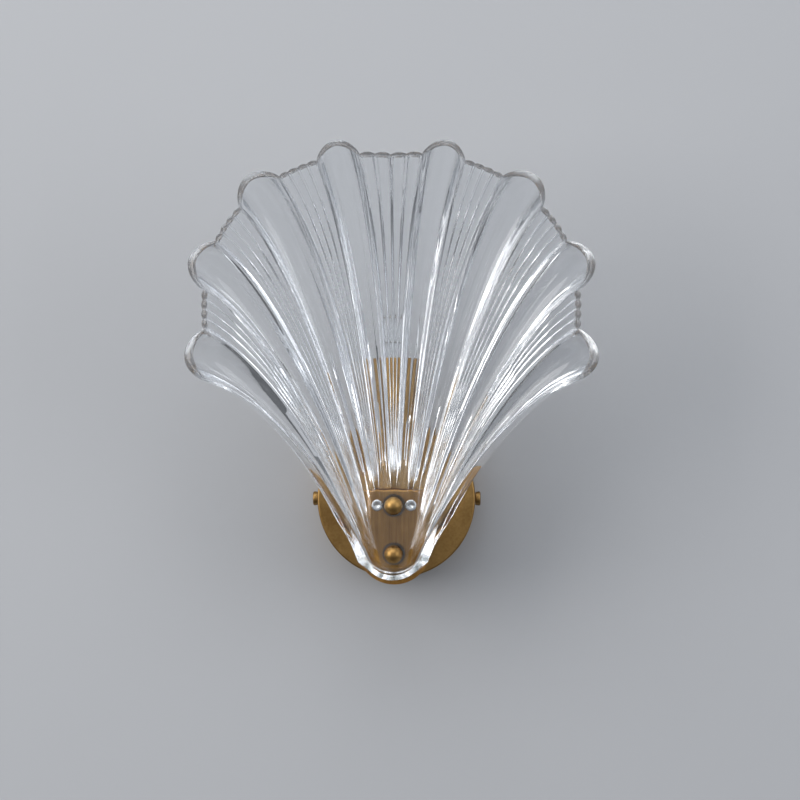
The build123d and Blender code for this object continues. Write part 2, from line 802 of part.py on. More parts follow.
with BuildPart() as lamp_socket:
    with BuildSketch(level(socket_z)):
        Circle(socket_diameter / 2)
    extrude(amount=socket_height)
    fillet(lamp_socket.faces().sort_by(Axis.Z)[-1].edges(), 1.0)
    with BuildSketch(level(socket_z)):
        Circle(socket_recess_diameter / 2)
    extrude(amount=socket_recess_depth, mode=Mode.SUBTRACT)
    with BuildSketch(level(well_floor)):
        Rectangle(well_length, well_width)
    extrude(amount=socket_well_depth, mode=Mode.SUBTRACT)
    with BuildSketch(level(recess_top)):
        with Locations(contact_places):
            Circle(contact_diameter / 2 + slip)
    extrude(amount=well_floor - recess_top, mode=Mode.SUBTRACT)
    with BuildSketch(level(socket_z)):
        with Locations(holder_screws):
            Circle(socket_screw_diameter / 2 + pass_gap)
    extrude(amount=socket_height, mode=Mode.SUBTRACT)
    with BuildSketch(level(socket_top)):
        with Locations(holder_screws):
            Circle(socket_screw_head / 2 + pass_gap)
    extrude(amount=-socket_screw_head_height, mode=Mode.SUBTRACT)
save(lamp_socket, "lamp_socket")

with BuildPart() as socket_screws:
    for place in holder_screws:
        with BuildSketch(level(bridge_z - bridge_thickness)):
            with Locations(place):
                Circle(socket_screw_diameter / 2)
        extrude(amount=socket_top - socket_screw_head_height - bridge_z + bridge_thickness)
        with BuildSketch(level(socket_top - socket_screw_head_height)):
            with Locations(place):
                Circle(socket_screw_head / 2)
        extrude(amount=socket_screw_head_height)
        with BuildSketch(level(socket_top)):
            with Locations(place):
                Rectangle(socket_screw_head, bracket_screw_recess)
        extrude(amount=-socket_screw_head_height / 2, mode=Mode.SUBTRACT)
save(socket_screws, "socket_screws")

with BuildPart() as socket_contacts:
    with BuildSketch(level(well_floor)):
        with Locations(contact_places):
            Circle(contact_diameter / 2)
            Circle(pin_diameter / 2 + slip, mode=Mode.SUBTRACT)
    extrude(amount=-contact_length)
save(socket_contacts, "socket_contacts")

# ---------------------------------------------------------------- capsule bulb

bulb_radius = bulb_diameter / 2

with BuildPart() as bulb_glass:
    with BuildSketch(level(bulb_body_z - bulb_wall)):
        Circle(bulb_radius)
    extrude(amount=bulb_body_length - bulb_radius + bulb_wall)
    fillet(bulb_glass.faces().sort_by(Axis.Z)[0].edges(), bulb_wall)
    with Locations((0, -cup_depth, bulb_body_z + bulb_body_length - bulb_radius)):
        Sphere(bulb_radius)
    with BuildSketch(level(bulb_body_z)):
        Circle(bulb_radius - bulb_wall)
    extrude(amount=bulb_body_length - bulb_radius, mode=Mode.SUBTRACT)
    with Locations((0, -cup_depth, bulb_body_z + bulb_body_length - bulb_radius)):
        Sphere(bulb_radius - bulb_wall, mode=Mode.SUBTRACT)
    with BuildSketch(level(bulb_foot_z)):
        Rectangle(bulb_foot_width, bulb_foot_thickness)
    extrude(amount=bulb_foot_length)
save(bulb_glass, "bulb_glass")

with BuildPart() as bulb_pins:
    with BuildSketch(level(bulb_foot_z)):
        with Locations(contact_places):
            Circle(pin_diameter / 2)
    extrude(amount=-pin_length)
save(bulb_pins, "bulb_pins")

# The filament is a coil across the capsule, on two leads that rise from the foot.
with BuildPart() as bulb_filament:
    with BuildSketch(level(bulb_body_z)):
        with Locations(contact_places):
            Circle(lead_diameter / 2)
    extrude(amount=filament_height)
    coil = Plane((0, -cup_depth, bulb_body_z + filament_height), x_dir=(0, 1, 0), z_dir=(1, 0, 0))
    with BuildSketch(coil):
        Circle(filament_diameter / 2)
    extrude(amount=pin_spacing / 2 + lead_diameter / 2, both=True)
save(bulb_filament, "bulb_filament")

# ---------------------------------------------------------------- lamp wires

# Each wire leaves its pole of the block, turns under the nipple, runs out through the post
# and rises in the stem to its contact.
wire_drop = block_height / 2 + wire_slack
wire_turn_z = socket_z + 1.2
with BuildPart() as lamp_wires:
    for side, pole_x in zip((1, -1), (pole_places[0][0], pole_places[1][0])):
        lane = side * wire_spacing / 2
        low = -wire_drop + (side - 1) * wire_diameter
        contact_x = side * pin_spacing / 2
        route = [
            (pole_x, -pole_depth, -block_height / 2 + 2.0),
            (pole_x, -pole_depth, low),
            (lane, -pole_depth + 1.0, low - 1.0),
            (lane, -pole_depth - 1.0, axis_z - 1.0),
            (lane, -cup_depth + side * 0.1, axis_z),
            (lane, -cup_depth, wire_turn_z),
            (contact_x, -cup_depth, wire_turn_z + 3.0),
            (contact_x, -cup_depth, well_floor - contact_length),
        ]
        radii = 4 * [wire_bend] + 2 * [wire_bend_tight]
        with BuildLine() as wire_line:
            FilletPolyline(*route, radius=radii)
        with BuildSketch(Plane(route[0], z_dir=(0, 0, -1))):
            Circle(wire_diameter / 2)
        sweep(path=wire_line.wires()[0])
save(lamp_wires, "lamp_wires")
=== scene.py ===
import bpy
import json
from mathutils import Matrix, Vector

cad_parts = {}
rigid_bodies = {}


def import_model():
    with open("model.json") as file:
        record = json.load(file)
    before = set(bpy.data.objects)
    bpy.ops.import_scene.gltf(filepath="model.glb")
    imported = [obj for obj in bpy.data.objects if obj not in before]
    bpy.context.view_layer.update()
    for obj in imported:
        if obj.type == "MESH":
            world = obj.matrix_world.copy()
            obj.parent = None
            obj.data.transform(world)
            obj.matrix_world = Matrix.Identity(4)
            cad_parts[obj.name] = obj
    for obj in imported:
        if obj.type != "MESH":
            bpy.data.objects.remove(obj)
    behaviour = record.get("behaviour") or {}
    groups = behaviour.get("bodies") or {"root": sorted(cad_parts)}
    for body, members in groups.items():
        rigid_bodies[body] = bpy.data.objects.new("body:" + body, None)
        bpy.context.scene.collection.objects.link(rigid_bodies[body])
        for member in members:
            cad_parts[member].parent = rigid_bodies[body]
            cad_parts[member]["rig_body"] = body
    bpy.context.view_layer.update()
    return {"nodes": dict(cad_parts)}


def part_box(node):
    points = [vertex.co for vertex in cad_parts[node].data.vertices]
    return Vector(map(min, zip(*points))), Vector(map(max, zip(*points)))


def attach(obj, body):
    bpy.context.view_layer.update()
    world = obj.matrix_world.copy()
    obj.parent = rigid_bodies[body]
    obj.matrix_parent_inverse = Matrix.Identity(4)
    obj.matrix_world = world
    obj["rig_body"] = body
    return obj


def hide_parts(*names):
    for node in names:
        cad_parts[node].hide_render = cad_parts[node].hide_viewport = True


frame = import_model()

import json
import math
from types import SimpleNamespace

import bmesh
import bpy
from mathutils import Vector

# A wall light, in the order in which it is put together: the crossbar on the wall, the
# canopy over it, the post and bracket, the shell of glass on its two studs, and the lamp
# cup with its bulb behind the glass. Metres; the wall is the plane y = 0.

MM = 0.001
scene = bpy.context.scene

# ------------------------------------------------------------------ crossbar and earth
# The crossbar is a strap of zinc plated steel, screwed flat to the wall behind the canopy.
# Its ends turn forward to take the thumb screws. A brass earth screw holds a brass washer.


class Field:
    """What a socket of a node tree carries, so that a rule reads like ordinary arithmetic."""

    def __init__(self, socket):
        self.socket = socket

    def is_vector(self):
        return self.socket.type == "VECTOR"

    def __add__(self, other):
        return calculate("ADD", self, other)

    def __radd__(self, other):
        return calculate("ADD", other, self)

    def __sub__(self, other):
        return calculate("SUBTRACT", self, other)

    def __rsub__(self, other):
        return calculate("SUBTRACT", other, self)

    def __mul__(self, other):
        return calculate("SCALE" if self.is_vector() else "MULTIPLY", self, other)

    def __rmul__(self, other):
        return self * other

    def __truediv__(self, other):
        return calculate("DIVIDE", self, other)

    def __pow__(self, other):
        return calculate("POWER", self, other)


def calculate(operation, *values):
    """A math node, or a vector math node where a value is a vector."""
    fields = [value for value in values if isinstance(value, Field)]
    tree = fields[0].socket.id_data
    vectors = any(field.is_vector() for field in fields)
    node = tree.nodes.new("ShaderNodeVectorMath" if vectors else "ShaderNodeMath")
    node.operation = operation
    for socket, value in zip([s for s in node.inputs if s.enabled], values):
        plug(socket, value)
    return Field([s for s in node.outputs if s.enabled][0])


def plug(socket, value):
    """Links a field to a socket, or sets the socket to a constant."""
    if isinstance(value, Field):
        socket.id_data.links.new(value.socket, socket)
    else:
        socket.default_value = value


def add_node(tree, kind, **inputs):
    """Adds a node and plugs its inputs, given by their names with _ for a space."""
    node = tree.nodes.new(kind)
    for name, value in inputs.items():
        plug(node.inputs[name.replace("_", " ")], value)
    return node


def new_material(name, colour, roughness, **sockets):
    """A material with its constants on the shader, and its tree, shader and object coordinates."""
    material = bpy.data.materials.new(name)
    material.use_nodes = True
    tree = material.node_tree
    shader = tree.nodes["Principled BSDF"]
    shader.inputs["Base Color"].default_value = (*colour, 1)
    shader.inputs["Roughness"].default_value = roughness
    for socket, value in sockets.items():
        shader.inputs[socket.replace("_", " ")].default_value = value
    place = Field(tree.nodes.new("ShaderNodeTexCoord").outputs["Object"])
    return material, tree, shader, place


def noise(tree, place, scale, detail=3.0, stretch=(1, 1, 1)):
    """Soft noise on the object's own coordinates, finer along an axis where stretch is greater."""
    mapping = add_node(tree, "ShaderNodeMapping", Vector=place, Scale=stretch)
    texture = add_node(
        tree, "ShaderNodeTexNoise", Vector=Field(mapping.outputs[0]), Scale=scale, Detail=detail
    )
    return Field(texture.outputs[0])


def ramp(tree, value, low, high, first, last):
    """Spreads a value between low and high over the range from first to last."""
    limits = dict(From_Min=low, From_Max=high, To_Min=first, To_Max=last)
    node = add_node(tree, "ShaderNodeMapRange", Value=value, **limits)
    return Field(node.outputs[0])


def mixed_colours(tree, share, first, last):
    """Mixes two colours by a share between 0 and 1."""
    node = tree.nodes.new("ShaderNodeMix")
    node.data_type = "RGBA"
    plug(node.inputs["Factor"], share)
    for socket, colour in zip([s for s in node.inputs if s.type == "RGBA"], (first, last)):
        socket.default_value = (*colour, 1)
    return Field([s for s in node.outputs if s.type == "RGBA"][0])


def bump(tree, shader, height, strength, distance):
    """Fine relief from a height between 0 and 1, over a distance in millimetres."""
    node = add_node(
        tree, "ShaderNodeBump", Height=height, Strength=strength, Distance=distance * MM
    )
    plug(shader.inputs["Normal"], Field(node.outputs[0]))


def metal(name, dark, light, roughness, stretch=(1, 1, 1), relief=0.05):
    """Metal with a faint cloudy tarnish, and a grain that runs across the stretched axes."""
    material, tree, shader, place = new_material(name, light, roughness, Metallic=1.0)
    cloud = noise(tree, place, 55.0, 4.0)
    grain = noise(tree, place, 900.0, 2.0, stretch)
    tone = ramp(tree, cloud * 0.6 + grain * 0.4, 0.35, 0.65, 0.0, 1.0)
    plug(shader.inputs["Base Color"], mixed_colours(tree, tone, dark, light))
    smoothest, roughest = roughness * 0.8, roughness * 1.25
    wear = ramp(tree, grain * 0.5 + cloud * 0.5, 0.3, 0.7, smoothest, roughest)
    plug(shader.inputs["Roughness"], wear)
    bump(tree, shader, grain, strength=relief, distance=0.05)
    return material


def evaluated(name, mesh, kind, **settings):
    """The plain mesh that one modifier of that kind makes of a mesh."""
    carrier = bpy.data.objects.new(name + "_carrier", mesh)
    scene.collection.objects.link(carrier)
    modifier = carrier.modifiers.new(name, kind)
    for key, value in settings.items():
        if hasattr(modifier, key):
            setattr(modifier, key, value)
        else:
            modifier[key] = value
    graph = bpy.context.evaluated_depsgraph_get()
    graph.update()
    result = bpy.data.meshes.new_from_object(carrier.evaluated_get(graph), depsgraph=graph)
    carrier.modifiers.clear()
    bpy.data.objects.remove(carrier)
    bpy.data.meshes.remove(mesh)
    result.name = name
    return result


merge_distance = 0.002 * MM
cad_sharp_angle, turned_sharp_angle, glass_sharp_angle = 32, 35, 75


def smooth_copy(node, material, slot):
    """A CAD piece's mesh with its curved faces shaded smooth, in place of the piece."""
    source = frame["nodes"][node]
    mesh = source.data.copy()
    work = bmesh.new()
    work.from_mesh(mesh)
    bmesh.ops.remove_doubles(work, verts=work.verts, dist=merge_distance)
    bmesh.ops.recalc_face_normals(work, faces=work.faces)
    work.to_mesh(mesh)
    work.free()
    mesh.shade_smooth()
    mesh.set_sharp_from_angle(angle=math.radians(cad_sharp_angle))
    even = evaluated(node + "_finish", mesh, "WEIGHTED_NORMAL", keep_sharp=True)
    finished(node + "_finish", even, material, slot, source["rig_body"], node)


def finished(name, mesh, material, slot, body, *nodes):
    """Puts a finished piece in place, with its material, body and the nodes it stands for. The slot
    is not used.
    """
    piece = bpy.data.objects.new(name, mesh)
    scene.collection.objects.link(piece)
    mesh.materials.clear()
    mesh.materials.append(material)
    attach(piece, body)
    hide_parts(*nodes)


zinc = metal("zinc_plate", (0.42, 0.42, 0.40), (0.62, 0.61, 0.57), 0.34, (1, 1, 1))
bright_steel = metal(
    "bright_steel", (0.62, 0.62, 0.61), (0.82, 0.82, 0.80), 0.16, (3, 1, 3), 0.02
)
copper_brass = metal("earth_brass", (0.62, 0.44, 0.17), (0.80, 0.60, 0.27), 0.24, (1, 1, 1))
smooth_copy("wall_crossbar", zinc, "zinc_steel")
smooth_copy("earth_washer", copper_brass, "copper_brass")
smooth_copy("earth_screw", copper_brass, "copper_brass")

# ------------------------------------------------------------------ terminal block
# A moulded block of white plastic joins the mains cable to the lamp's wires. Its four small
# steel screws clamp the wire ends, and it sits on the crossbar.

block_plastic, tree, shader, place = new_material("block_plastic", (0.80, 0.80, 0.77), 0.42)
bump(tree, shader, noise(tree, place, 1800.0), strength=0.15, distance=0.03)
smooth_copy("terminal_block", block_plastic, "block_white")
smooth_copy("terminal_screws", bright_steel, "bright_steel")

# ------------------------------------------------------------------ canopy and thumb screws
# The canopy is a round cap spun from sheet brass, aged and lacquered to a satin finish. Two
# brass thumb screws at its sides hold it on the crossbar.


def rounded_corner(centre, radius, start, end, steps=6):
    """Points of a profile round a corner, from one angle to another in degrees. The first of
    each pair is the distance from the axis, and the second the height along it."""
    angles = [math.radians(start + (end - start) * step / steps) for step in range(steps + 1)]
    return [(centre[0] + radius * math.cos(a), centre[1] + radius * math.sin(a)) for a in angles]


def turned(name, profile, foot, axis, segments=96, closed=False):
    """A mesh turned from a profile about an axis. A closed profile is a ring's cross section."""
    axis = Vector(axis).normalized()
    side = axis.orthogonal().normalized()
    other = axis.cross(side)
    work = bmesh.new()
    rings = []
    for distance, height in profile:
        ring = []
        for step in range(segments):
            angle = 2 * math.pi * step / segments
            around = side * math.cos(angle) + other * math.sin(angle)
            ring.append(work.verts.new(Vector(foot) + axis * height + around * distance))
        rings.append(ring)
    pairs = list(zip(rings, rings[1:])) + ([(rings[-1], rings[0])] if closed else [])
    for low, high in pairs:
        for step in range(segments):
            after = (step + 1) % segments
            work.faces.new((low[step], low[after], high[after], high[step]))
    bmesh.ops.remove_doubles(work, verts=work.verts, dist=merge_distance / 2)
    bmesh.ops.recalc_face_normals(work, faces=work.faces)
    mesh = bpy.data.meshes.new(name)
    work.to_mesh(mesh)
    work.free()
    mesh.shade_smooth()
    mesh.set_sharp_from_angle(angle=math.radians(turned_sharp_angle))
    return mesh


def turned_brass(name, centre, axes):
    """Satin aged brass with the fine rings that a lathe or a spinning wheel leaves."""
    material, tree, shader, place = new_material(name, brass_light, 0.36, Metallic=1.0)
    parts = add_node(tree, "ShaderNodeSeparateXYZ", Vector=place)
    legs = [Field(parts.outputs[axis]) - centre[axis] for axis in axes]
    around = calculate("SQRT", legs[0] * legs[0] + legs[1] * legs[1])
    rings = tree.nodes.new("ShaderNodeTexNoise")
    rings.noise_dimensions = "1D"
    for name, value in (("W", around), ("Scale", 2600.0), ("Detail", 2.0)):
        plug(rings.inputs[name], value)
    cloud = noise(tree, place, 42.0, 4.0)
    fleck = noise(tree, place, 700.0, 2.0)
    tone = ramp(tree, cloud * 0.7 + fleck * 0.3, 0.36, 0.64, 0.0, 1.0)
    plug(shader.inputs["Base Color"], mixed_colours(tree, tone, brass_dark, brass_light))
    plug(shader.inputs["Roughness"], ramp(tree, cloud, 0.3, 0.7, 0.32, 0.42))
    bump(tree, shader, Field(rings.outputs[0]), strength=0.06, distance=0.05)
    return material


brass_dark, brass_light = (0.27, 0.15, 0.048), (0.43, 0.26, 0.09)
low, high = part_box("canopy")
canopy_radius, canopy_depth = high.x, -low.y
canopy_wall, canopy_corner = 1.5 * MM, 1.2 * MM
canopy_hole = 5.25 * MM
canopy_brass = turned_brass("canopy_brass", (0, 0, 0), (0, 2))
profile = [(canopy_radius, 0)]
profile += rounded_corner(
    (canopy_radius - canopy_corner, canopy_depth - canopy_corner), canopy_corner, 0, 90, 8
)
profile += [
    (canopy_hole, canopy_depth),
    (canopy_hole, canopy_depth - canopy_wall),
    (canopy_radius - canopy_wall, canopy_depth - canopy_wall),
    (canopy_radius - canopy_wall, 0),
]
canopy_mesh = turned("canopy_cap", profile, (0, 0, 0), (0, -1, 0), 192, closed=True)
finished("canopy_cap", canopy_mesh, canopy_brass, "aged_brass", "root", "canopy")

# Both thumb screws are turned from one profile, with a ring of small ribs round each head.
knurl_ribs, knurl_depth_share = 24, 0.05
head_height, head_corner, head_chamfer = 3.4 * MM, 1.2 * MM, 0.3 * MM
shank_radius, shank_chamfer = 2.0 * MM, 0.4 * MM
for side, body in ((-1, "left_thumb"), (1, "right_thumb")):
    node = body + "_screw"
    low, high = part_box(node)
    outer, inner = (high.x, low.x) if side > 0 else (low.x, high.x)
    head_radius = (high.z - low.z) / 2
    centre = ((low.x + high.x) / 2, (low.y + high.y) / 2, (low.z + high.z) / 2)
    seat = abs(outer) - head_height
    shank_end = abs(inner) - seat
    profile = [(0, head_height)]
    profile += rounded_corner(
        (head_radius - head_corner, head_height - head_corner), head_corner, 90, 0, 6
    )
    profile += [
        (head_radius - head_chamfer, head_chamfer),
        (head_radius - 2 * head_chamfer, 0),
        (shank_radius, 0),
        (shank_radius, shank_end + shank_chamfer),
        (shank_radius - shank_chamfer, shank_end),
        (0, shank_end),
    ]
    foot = (side * seat, centre[1], centre[2])
    mesh = turned(node + "_head", profile, foot, (side, 0, 0), 2 * knurl_ribs)
    # Every second column of the head's side is pulled in, which leaves the ribs of a knurl.
    for vertex in mesh.vertices:
        arm = Vector((0, vertex.co.y - centre[1], vertex.co.z - centre[2]))
        if arm.length > head_radius * 0.97:
            turn = math.atan2(arm.z, arm.y) * knurl_ribs / math.pi
            if round(turn) % 2:
                vertex.co -= arm * knurl_depth_share
    thumb_brass = turned_brass(body + "_brass", centre, (1, 2))
    finished(node + "_head", mesh, thumb_brass, "aged_brass", body, node)

# ------------------------------------------------------------------ post and its fixings
# The post is a bar of brass with a bore for the wires, milled round at both sides. A hollow
# threaded tube with a steel nut clamps it to the canopy, and a rubber grommet guards the
# wires at the tube's end.

linear_brass = metal(
    "brushed_brass", (0.26, 0.125, 0.03), (0.46, 0.245, 0.07), 0.34, (1, 1, 0.06), 0.08
)
rubber, tree, shader, place = new_material("black_rubber", (0.02, 0.02, 0.02), 0.6)
bump(tree, shader, noise(tree, place, 1500.0), strength=0.3, distance=0.04)
smooth_copy("post", linear_brass, "aged_brass")
smooth_copy("post_nipple", zinc, "zinc_steel")
smooth_copy("post_nut", zinc, "zinc_steel")
smooth_copy("wire_grommet", rubber, "black_rubber")

# ------------------------------------------------------------------ bracket
# The bracket is cut from 2 mm brass sheet and brushed upright. Its tongue stands behind the
# glass, and its shelf lies on the post under the lamp cup. Two steel screws hold it.

smooth_copy("shell_bracket", linear_brass, "aged_brass")
smooth_copy("bracket_screws", bright_steel, "bright_steel")

# ------------------------------------------------------------------ studs, washers and balls
# Two steel studs carry the glass between clear plastic washers, with a clear bush in each of
# its holes. A brass ball nut closes each stud, and a hex nut holds the lower one behind.

clear_plastic, tree, shader, place = new_material(
    "clear_plastic", (0.93, 0.95, 0.94), 0.08, Transmission_Weight=1.0, IOR=1.45
)
bump(tree, shader, noise(tree, place, 300.0), strength=0.05, distance=0.05)
for node in ("upper_stud", "lower_stud"):
    smooth_copy(node, bright_steel, "bright_steel")
smooth_copy("stud_nut", linear_brass, "aged_brass")
for node in ("rear_gaskets", "glass_bushes", "front_washers"):
    smooth_copy(node, clear_plastic, "clear_washer")

for body in ("upper_ball", "lower_ball"):
    node = body + "_nut"
    low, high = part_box(node)
    centre = Vector((0, low.y + high.x, (low.z + high.z) / 2))
    radius = high.x
    seat = high.y - centre.y
    seat_angle = math.degrees(math.asin(seat / radius))
    bore, bore_end = 3.05 * MM, 7.3 * MM
    profile = [(0, seat - bore_end), (bore, seat - bore_end), (bore, seat)]
    profile += rounded_corner((0, 0), radius, seat_angle, -90, 36)
    mesh = turned(node + "_ball", profile, centre, (0, 1, 0), 64)
    ball_brass = turned_brass(body + "_brass", centre, (0, 2))
    finished(node + "_ball", mesh, ball_brass, "aged_brass", body, node)

# ------------------------------------------------------------------ glass shell
# The shell is pressed from thick clear glass: eight flutes, seven groups of four ripples, a
# flat floor with two holes, side walls that rise round it, and a flared rim.

columns_per_flute, columns_per_group = 20, 32
rows, border_steps = 109, 4
shell_sizes = dict(
    edge_across=3.88, flute_pitch=25.7, middle_spread=2.3, rim_centre_height=96.3,
    rim_radius_top=112.0, rim_radius_shoulder=121.0, rim_radius_side=108.5, shoulder_angle=53.0,
    swing_power_inside=1.15, swing_power_outside=3.0, flute_outset=3.0,
    middle_ripple_share=0.62, side_ripple_share=0.45,
    root_centre_drop=26.5, root_radius=18.0, root_half_angle=56.0, root_lean=22.0,
    rib_rise_middle=80.0, rib_rise_side=38.0, rib_run_middle=70.0, rib_run_side=40.0,
    middle_blend=0.1, rib_turn_limit=76.0,
    glass_front=71.5, floor_thickness=6.0, rim_thickness=2.6,
    lean_depth=38.0, lean_start=0.20, lean_power=1.6, flare_depth=10.2, flare_power=14.0,
    wall_height=14.0, wall_inner=0.40, wall_power=1.6, lip_share=0.02, lip_thinning=0.45,
    flute_depth_low=0.18, flute_depth_rim=0.52, lens_depth_low=1.1, lens_depth_rim=0.25,
    ripple_depth=0.40, rod_depth_low=1.6, rod_depth_rim=0.4, drawn_line_depth=0.17,
    flute_start=0.08, middle_start_later=0.12, middle_growth=0.09, side_growth=0.18,
    hole_diameter=8.6, upper_hole_height=-2.5, lower_hole_height=-32.5, edge_roundness=0.4,
)
flutes, ripples_per_group = 8, 4
degree = math.pi / 180


def socket_name(key):
    return key.replace("_", " ").capitalize()


def new_tree(name, sizes):
    """A tree of geometry nodes with a named input for each size, and those inputs as fields."""
    tree = bpy.data.node_groups.new(name, "GeometryNodeTree")
    for key, value in sizes.items():
        socket = tree.interface.new_socket(
            socket_name(key), in_out="INPUT", socket_type="NodeSocketFloat"
        )
        socket.default_value = value
    tree.interface.new_socket("Geometry", in_out="OUTPUT", socket_type="NodeSocketGeometry")
    entry = tree.nodes.new("NodeGroupInput")
    size = SimpleNamespace(**{key: Field(entry.outputs[socket_name(key)]) for key in sizes})
    return tree, size


def grown(name, tree, geometry, material, sizes):
    """Ends a tree, runs it on an empty mesh with its sizes set, and returns the plain mesh."""
    real = add_node(tree, "GeometryNodeRealizeInstances", Geometry=geometry)
    coat = add_node(
        tree, "GeometryNodeSetMaterial", Geometry=Field(real.outputs[0]), Material=material
    )
    leave = tree.nodes.new("NodeGroupOutput")
    tree.links.new(coat.outputs[0], leave.inputs[0])
    values = {socket_name(key): value for key, value in sizes.items()}
    inputs = {
        item.identifier: values[item.name]
        for item in tree.interface.items_tree
        if item.in_out == "INPUT"
    }
    return evaluated(name, bpy.data.meshes.new(name), "NODES", node_group=tree, **inputs)


def vector(tree, x, y, z):
    """A vector from its three parts."""
    return Field(add_node(tree, "ShaderNodeCombineXYZ", X=x, Y=y, Z=z).outputs[0])


def choose(condition, if_true, if_false):
    """One value where the condition is 1 and another where it is 0."""
    return (if_true - if_false) * condition + if_false


def ease(value):
    """A smooth step from 0 to 1."""
    value = calculate("MINIMUM", calculate("MAXIMUM", value, 0.0), 1.0)
    return value * value * (3.0 - 2.0 * value)


def sine(value):
    return calculate("SINE", value)


def cosine(value):
    return calculate("COSINE", value)


def at_least(value, least):
    return calculate("MAXIMUM", value, least)


def at_most(value, most):
    return calculate("MINIMUM", value, most)


shell_tree, size = new_tree("pressed_shell", shell_sizes)
middle_spread_width = 0.4


def rim_angle(across):
    """The direction in which the rim lies from its centre, in radians from upright."""
    spread = size.middle_spread * calculate("TANH", across / middle_spread_width)
    return (size.flute_pitch * across + spread) * degree


def bowl(across, along):
    """A point of the smooth inner face before it is fluted, in millimetres."""
    share = across / size.edge_across
    angle = rim_angle(across)
    foot_angle = size.root_half_angle * share * degree
    foot_x = size.root_radius * sine(foot_angle)
    foot_z = -1.0 * size.root_centre_drop - size.root_radius * cosine(foot_angle)
    swing = calculate("ABSOLUTE", sine(angle * 90.0 / size.shoulder_angle))
    inside = calculate("LESS_THAN", calculate("ABSOLUTE", angle), size.shoulder_angle * degree)
    low_radius = choose(inside, size.rim_radius_top, size.rim_radius_side)
    power = choose(inside, size.swing_power_inside, size.swing_power_outside)
    radius = low_radius + (size.rim_radius_shoulder - low_radius) * swing**power
    rim_x, rim_z = radius * sine(angle), size.rim_centre_height + radius * cosine(angle)
    limit = size.rib_turn_limit * degree
    turn = limit * calculate("TANH", angle / limit)
    aside = calculate("SQRT", share * share + size.middle_blend * size.middle_blend)
    rise = size.rib_rise_middle + (size.rib_rise_side - size.rib_rise_middle) * aside
    run = size.rib_run_middle + (size.rib_run_side - size.rib_run_middle) * aside
    start = size.root_lean * share * degree
    low_x, low_z = foot_x + rise * sine(start), foot_z + rise * cosine(start)
    high_x, high_z = rim_x - run * sine(turn), rim_z - run * cosine(turn)
    x_knots = (foot_x, low_x, high_x, rim_x)
    z_knots = (foot_z, low_z, high_z, rim_z)
    rest = 1.0 - along
    weights = (
        rest * rest * rest,
        3.0 * along * rest * rest,
        3.0 * along * along * rest,
        along * along * along,
    )

    def curve(knots):
        total = weights[0] * knots[0]
        for weight, knot in zip(weights[1:], knots[1:]):
            total = total + weight * knot
        return total

    climb = at_least(along - size.lean_start, 0.0) / (1.0 - size.lean_start)
    depth = (
        size.glass_front
        + size.lean_depth * climb**size.lean_power
        + size.flare_depth * along**size.flare_power
    )
    beyond = at_least(calculate("ABSOLUTE", share) - size.wall_inner, 0.0) / (1.0 - size.wall_inner)
    side_wall = beyond**size.wall_power
    foot_wall = at_least(1.0 - along / size.lip_share, 0.0)
    foot_wall = foot_wall * foot_wall
    wall = 1.0 - (1.0 - side_wall) * (1.0 - foot_wall)
    depth = depth + size.wall_height * rest * wall
    return vector(shell_tree, curve(x_knots), -1.0 * depth, curve(z_knots))


# The net's columns are shared out so that each flute and each group of ripples has its own,
# and a few more columns and rows go round the edge to the middle of the glass's thickness.
# Rows crowd together towards the foot and the rim.
row_power_rim, row_power_foot = 1.4, 1.5
group_share_at_foot, group_power = 0.22, 0.8
columns_per_pair = columns_per_flute + columns_per_group
columns = (flutes - 1) * columns_per_pair + columns_per_flute
grid = shell_tree.nodes.new("GeometryNodeMeshGrid")
grid.inputs["Size X"].default_value = columns + 2 * border_steps
grid.inputs["Size Y"].default_value = rows + 2 * border_steps
grid.inputs["Vertices X"].default_value = columns + 2 * border_steps + 1
grid.inputs["Vertices Y"].default_value = rows + 2 * border_steps + 1
spot = add_node(
    shell_tree,
    "ShaderNodeSeparateXYZ",
    Vector=Field(shell_tree.nodes.new("GeometryNodeInputPosition").outputs[0]),
)
column = calculate("ROUND", Field(spot.outputs[0]) + columns / 2)
row = calculate("ROUND", Field(spot.outputs[1]) + rows / 2)
column_on = at_most(at_least(column, 0.0), float(columns))
row_on = at_most(at_least(row, 0.0), float(rows))
past_side = sine((column - column_on) * (math.pi / 2 / border_steps))
past_end = sine((row - row_on) * (math.pi / 2 / border_steps))

pair = at_most(calculate("FLOOR", column_on / columns_per_pair), flutes - 1.0)
within = column_on - pair * columns_per_pair
in_flute = calculate("LESS_THAN", within, columns_per_flute + 0.5)
flute_place = 0.5 - 0.5 * cosine(within * (math.pi / columns_per_flute))
place = choose(in_flute, flute_place, (within - columns_per_flute) / columns_per_group)
along = (1.0 - (1.0 - row_on / rows) ** row_power_rim) ** row_power_foot
flute = pair - (flutes - 1) / 2
group = pair - (flutes / 2 - 1)
narrowing = (group_share_at_foot + (1.0 - group_share_at_foot) * along) ** group_power


def group_half_width(number):
    """Half the share of the pitch that a group of ripples takes."""
    in_middle = calculate("LESS_THAN", calculate("ABSOLUTE", number), 0.5)
    return choose(in_middle, size.middle_ripple_share, size.side_ripple_share) * narrowing * 0.5


